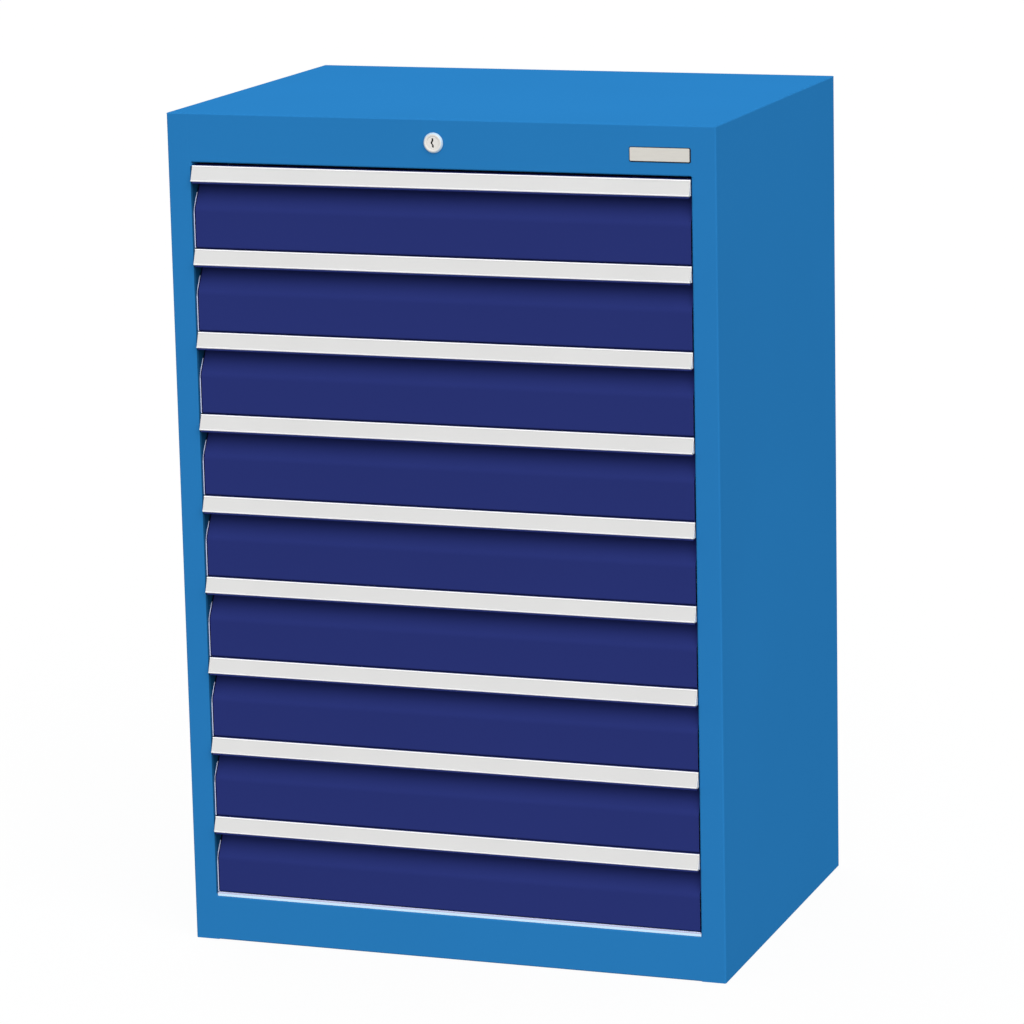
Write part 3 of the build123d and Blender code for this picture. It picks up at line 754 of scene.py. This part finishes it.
# Edgings: a thin pale plastic profile on the left end of every front. It follows the face and the start of
# the recess and shows as a bright line beside the stile.
EDGING_X = (-309.65 * MM, -308.5 * MM)
EDGING_WALL = 2.4 * MM
EDGING_BELOW_TOP = 34 * MM
FACE_DEPTH = 1.0 * MM
FLAT_TOP = 52.0 * MM
RECESS_TOP = 25.0 * MM
RECESS_DEPTH = 16.0 * MM
BEND_REACH = 7.0 * MM
BEND_SHARE = 0.28
PLASTIC_BREAK = 0.15 * MM
PLASTIC_DARK = (0.52, 0.57, 0.82, 1)
PLASTIC_PALE = (0.62, 0.67, 0.92, 1)


def edging_section(height):
    """Outline of the edging in (depth, height), measured from the front's top edge."""
    slope = RECESS_DEPTH / (FLAT_TOP - RECESS_TOP)
    bend = -FLAT_TOP
    end = -EDGING_BELOW_TOP
    outer = [
        (FACE_DEPTH, -height),
        (FACE_DEPTH, bend - BEND_REACH),
        (FACE_DEPTH + BEND_SHARE * BEND_REACH * slope, bend),
        (FACE_DEPTH + BEND_REACH * slope, bend + BEND_REACH),
        (FACE_DEPTH + (end - bend) * slope, end),
    ]
    return outer + [(depth + EDGING_WALL, level) for depth, level in outer[::-1]]


edging_white, tree, shader = start_material("edging_white", Specular_IOR_Level=0.3, Roughness=0.5)
place = put(tree, "TexCoord").outputs["Object"]
grain = put(tree, "TexNoise", {"Vector": place, "Scale": 700.0, "Detail": 2.0})
tree.links.new(blend(tree, grain.outputs["Fac"], PLASTIC_DARK, PLASTIC_PALE), shader["Base Color"])
for number in range(1, DRAWER_COUNT + 1):
    low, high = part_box(f"drawer_{number}_front")
    edging_mesh = extruded(f"edging_{number}", edging_section(high.z - low.z), EDGING_X)
    edging = piece(f"drawer_{number}_edging", edging_mesh, f"drawer_{number}", edging_white,
                   (0, face_y, high.z))
    broken_edges(edging, PLASTIC_BREAK)


# Seal: a strip of the edgings' plastic along the top of the liner's lip, over the opening's width. It
# closes the gap under the lowest front and makes the bright upper part of the line seen there.
SEAL_TOP = 0.75 * MM
SEAL_DROP = 0.4 * MM
SEAL_DEPTHS = (0.25 * MM, 2.0 * MM)
SEAL_HALF = 308.6 * MM

seal_front, seal_back = SEAL_DEPTHS
seal_section = [(seal_front, -SEAL_DROP), (seal_back, -SEAL_DROP), (seal_back, SEAL_TOP),
                (seal_front, SEAL_TOP)]
seal_mesh = extruded("floor_seal", seal_section, (-SEAL_HALF, SEAL_HALF))
seal = piece("floor_seal", seal_mesh, "housing", edging_white, (0, face_y, liner_high.z))
broken_edges(seal, PLASTIC_BREAK)


# Drawer boxes: folded trays of 1 mm sheet, pale grey inside and out. Rows of slots in all four walls take
# the dividers, the top edges are hemmed, and an angle on the back is what the locking bar catches.
PALE_EDGE = (0.86, 0.86, 0.88, 1)
SHEET = 1.0 * MM
SHEET_BREAK = 0.18 * MM
WALL_UNDER_HEM = 0.2 * MM
HEM_HEIGHT = 8.0 * MM
HEM_THICKNESS = 1.0 * MM
SLOT_PITCH = 25.0 * MM
SLOT_WIDTH = 2.6 * MM
SLOT_ROWS = ((17 * MM, 33 * MM), (45 * MM, 61 * MM))
SLOT_END_MARGIN = 24 * MM
HOOK_REACH = 15.0 * MM
HOOK_WIDTH = 28.0 * MM
HOOK_SHEET = 1.5 * MM
HOOK_LIP = 54.0 * MM
# Inside its lip the hook is as high as the bar's travel, less the lug's clearance and with some head room.
CRANK_THROW = 8.0 * MM
BAR_TRAVEL = 2 * CRANK_THROW * math.sin(math.pi / 4)
LUG_CLEARANCE = 2.0 * MM
LUG_HEAD_ROOM = 0.7 * MM
HOOK_INSIDE = BAR_TRAVEL - LUG_CLEARANCE + LUG_HEAD_ROOM

# The trays' edges are painted much paler: partly worn coat and partly a painted highlight.
pale_paint = coated("pale_paint", PALE_GREY, PALE_EDGE, {"Width": 0.0006, "Amount": 0.7}, PALE_COAT,
                    Specular_IOR_Level=0.25)
box_low, box_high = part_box("drawer_1_box")
tray_half = box_high.x - HEM_THICKNESS
tray_depth = box_high.y - HOOK_REACH - box_low.y
tray_height = box_high.z - box_low.z


def upright(middle, width, low, high):
    """Corners of an upright rectangle."""
    left, right = middle - width / 2, middle + width / 2
    return [(left, low), (right, low), (right, high), (left, high)]


def slotted_wall(name, length, height):
    """Wall with its rows of divider slots, lying in X and Y with its foot's middle at the origin."""
    outlines = [upright(0, length, 0, height)]
    count = int((length - 2 * SLOT_END_MARGIN) / SLOT_PITCH) + 1
    for low, high in SLOT_ROWS:
        for index in range(count):
            outlines.append(upright((index - (count - 1) / 2) * SLOT_PITCH, SLOT_WIDTH, low, high))
    return sheet_cut(name, outlines, SHEET)


def slab(x_range, y_range, z_range):
    """Plain sheet piece with slightly broken edges."""
    shape = bmesh.new()
    bmesh.ops.create_cube(shape, size=1)
    for vert in shape.verts:
        for axis, (low, high) in enumerate((x_range, y_range, z_range)):
            vert.co[axis] = low if vert.co[axis] < 0 else high
    bmesh.ops.bevel(shape, geom=shape.edges, offset=SHEET_BREAK, segments=BREAK_STEPS, profile=0.5,
                    affect="EDGES", clamp_overlap=True)
    mesh = bpy.data.meshes.new("slab")
    shape.to_mesh(mesh)
    shape.free()
    return mesh


def hem(x_range, y_range):
    """Folded-over top edge of a wall."""
    return slab(x_range, y_range, (tray_height - HEM_HEIGHT, tray_height))


wall_height = tray_height - WALL_UNDER_HEM
side_wall = slotted_wall("side_wall", tray_depth, wall_height)
end_wall = slotted_wall("end_wall", 2 * tray_half - 2 * SHEET, wall_height)
stand_x = Matrix.Rotation(math.pi / 2, 4, "X")
stand_y = Matrix.Rotation(math.pi / 2, 4, "Z") @ stand_x
bar_low, bar_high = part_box("locking_bar")
hook_x = (bar_low.x + bar_high.x) / 2
hook_sides = (hook_x - HOOK_WIDTH / 2, hook_x + HOOK_WIDTH / 2)
hook_end = tray_depth + HOOK_REACH
hook_inside = HOOK_LIP + HOOK_INSIDE
hook_top = hook_inside + HOOK_SHEET
tray_parts = [
    (side_wall, Matrix.Translation((tray_half, tray_depth / 2, 0)) @ stand_y),
    (side_wall, Matrix.Translation((SHEET - tray_half, tray_depth / 2, 0)) @ stand_y),
    (end_wall, stand_x),
    (end_wall, Matrix.Translation((0, tray_depth - SHEET, 0)) @ stand_x),
    (slab((-tray_half + SHEET, tray_half - SHEET), (SHEET, tray_depth - SHEET), (0, SHEET)), Matrix()),
    (hem((tray_half - SHEET, tray_half + HEM_THICKNESS), (0, tray_depth)), Matrix()),
    (hem((-tray_half - HEM_THICKNESS, SHEET - tray_half), (0, tray_depth)), Matrix()),
    (hem((-tray_half, tray_half), (tray_depth - SHEET, tray_depth + HEM_THICKNESS)), Matrix()),
    (slab(hook_sides, (tray_depth, hook_end), (hook_inside, hook_top)), Matrix()),
    (slab(hook_sides, (hook_end - HOOK_SHEET, hook_end), (HOOK_LIP, hook_top)), Matrix()),
]
tray_mesh = joined("tray", tray_parts)
for number in range(1, DRAWER_COUNT + 1):
    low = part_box(f"drawer_{number}_box")[0]
    tray = piece(f"drawer_{number}_tray", tray_mesh, f"drawer_{number}", pale_paint,
                 (0, low.y, low.z))
    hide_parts(f"drawer_{number}_box")


# Slides: rolled channels in zinc plate on each box, and between them and the housing's channels a drawn
# flat bar that carries the load roller and the glide shoes.
SLIDE_GREY = (0.42, 0.43, 0.45, 1)
SLIDE_STRAW = (0.52, 0.52, 0.51, 1)
DRAWN_LINES = (900, 4, 900)

slide_steel = plated("slide_steel", SLIDE_GREY, SLIDE_STRAW, DRAWN_LINES, depth=0.00001, roughness=0.3)
for number in range(1, DRAWER_COUNT + 1):
    dress(f"drawer_{number}_rails", zinc_steel)
    dress(f"drawer_{number}_carriage", slide_steel)


# Studio: a white floor that keeps a faint shadow, a bright surround that gives most of the light, one very
# broad key light from the front, above and to the right, and a weaker one for the back and the left side.
FLOOR_HALF = 12.0
FLOOR_DROP = 0.3 * MM
FLOOR_GREY = (0.82, 0.82, 0.82, 1)
WHITE = (1, 1, 1, 1)
SHADOW_SHARE = 0.06
SKY_LEVEL = 0.75
FLOOR_LEVEL = 0.35
LIGHT_SPREAD = math.radians(70)
LIGHTS = {"key": (0.31, -0.45, 0.44), "rear": (-0.30, 0.36, 0.06)}


def seen_level(tree, dim):
    """Full strength for what the camera, gloss and glass see, and dim for the light on the object."""
    paths = put(tree, "LightPath").outputs
    seen = put(tree, "Math", {0: paths["Is Camera Ray"], 1: paths["Is Glossy Ray"]}, operation="MAXIMUM")
    through = put(tree, "Math", {0: seen.outputs[0], 1: paths["Is Transmission Ray"]}, operation="MAXIMUM")
    return put(tree, "MapRange", {"Value": through.outputs[0], "To Min": dim, "To Max": 1.0}).outputs[0]


floor_mesh = bpy.data.meshes.new("floor")
floor_corners = [(x * FLOOR_HALF, y * FLOOR_HALF, 0) for x, y in ((-1, -1), (1, -1), (1, 1), (-1, 1))]
floor_mesh.from_pydata(floor_corners, [], [(0, 1, 2, 3)])
floor = bpy.data.objects.new("floor", floor_mesh)
floor.location.z = -FLOOR_DROP
bpy.context.scene.collection.objects.link(floor)
floor_white = bpy.data.materials.new("floor_white")
floor_white.use_nodes = True
tree = floor_white.node_tree
tree.nodes.clear()
bright = put(tree, "Emission", {"Color": WHITE, "Strength": seen_level(tree, FLOOR_LEVEL)})
matt = put(tree, "BsdfDiffuse", {"Color": FLOOR_GREY})
both = put(tree, "MixShader", {0: SHADOW_SHARE, 1: bright.outputs[0], 2: matt.outputs[0]})
put(tree, "OutputMaterial", {"Surface": both.outputs[0]})
floor_mesh.materials.append(floor_white)

world = bpy.data.worlds.new("studio")
bpy.context.scene.world = world
world.use_nodes = True
tree = world.node_tree
tree.nodes.clear()
sky = put(tree, "Background", {"Color": WHITE, "Strength": seen_level(tree, SKY_LEVEL)})
put(tree, "OutputWorld", {"Surface": sky.outputs[0]})

# A lamp's vector points to it from the object, and its length is the level of light that it gives.
for name, vector in LIGHTS.items():
    towards = Vector(vector)
    light = bpy.data.lights.new(name, "SUN")
    light.energy = math.pi * towards.length
    light.angle = LIGHT_SPREAD
    holder = bpy.data.objects.new(name, light)
    holder.rotation_euler = towards.to_track_quat("Z", "Y").to_euler()
    bpy.context.scene.collection.objects.link(holder)


# Camera: fitted to the cabinet's edges in the photograph, with a small shift for its framing.
CAMERA_SENSOR = 36.0
CAMERA_LENS = 155.2389
CAMERA_SHIFT = (-0.1, -0.04)
CAMERA_PLACE = (1.81002, -5.01453, 1.65654)
CAMERA_TURN = (78.2732, 0.9530, 18.3348)

camera_data = bpy.data.cameras.new("camera")
camera_data.sensor_width = CAMERA_SENSOR
camera_data.lens = CAMERA_LENS
camera_data.shift_x, camera_data.shift_y = CAMERA_SHIFT
camera = bpy.data.objects.new("camera", camera_data)
camera.location = CAMERA_PLACE
camera.rotation_euler = Euler([math.radians(angle) for angle in CAMERA_TURN], "XYZ")
bpy.context.scene.collection.objects.link(camera)
bpy.context.scene.camera = camera
bpy.context.scene.view_settings.view_transform = "Standard"
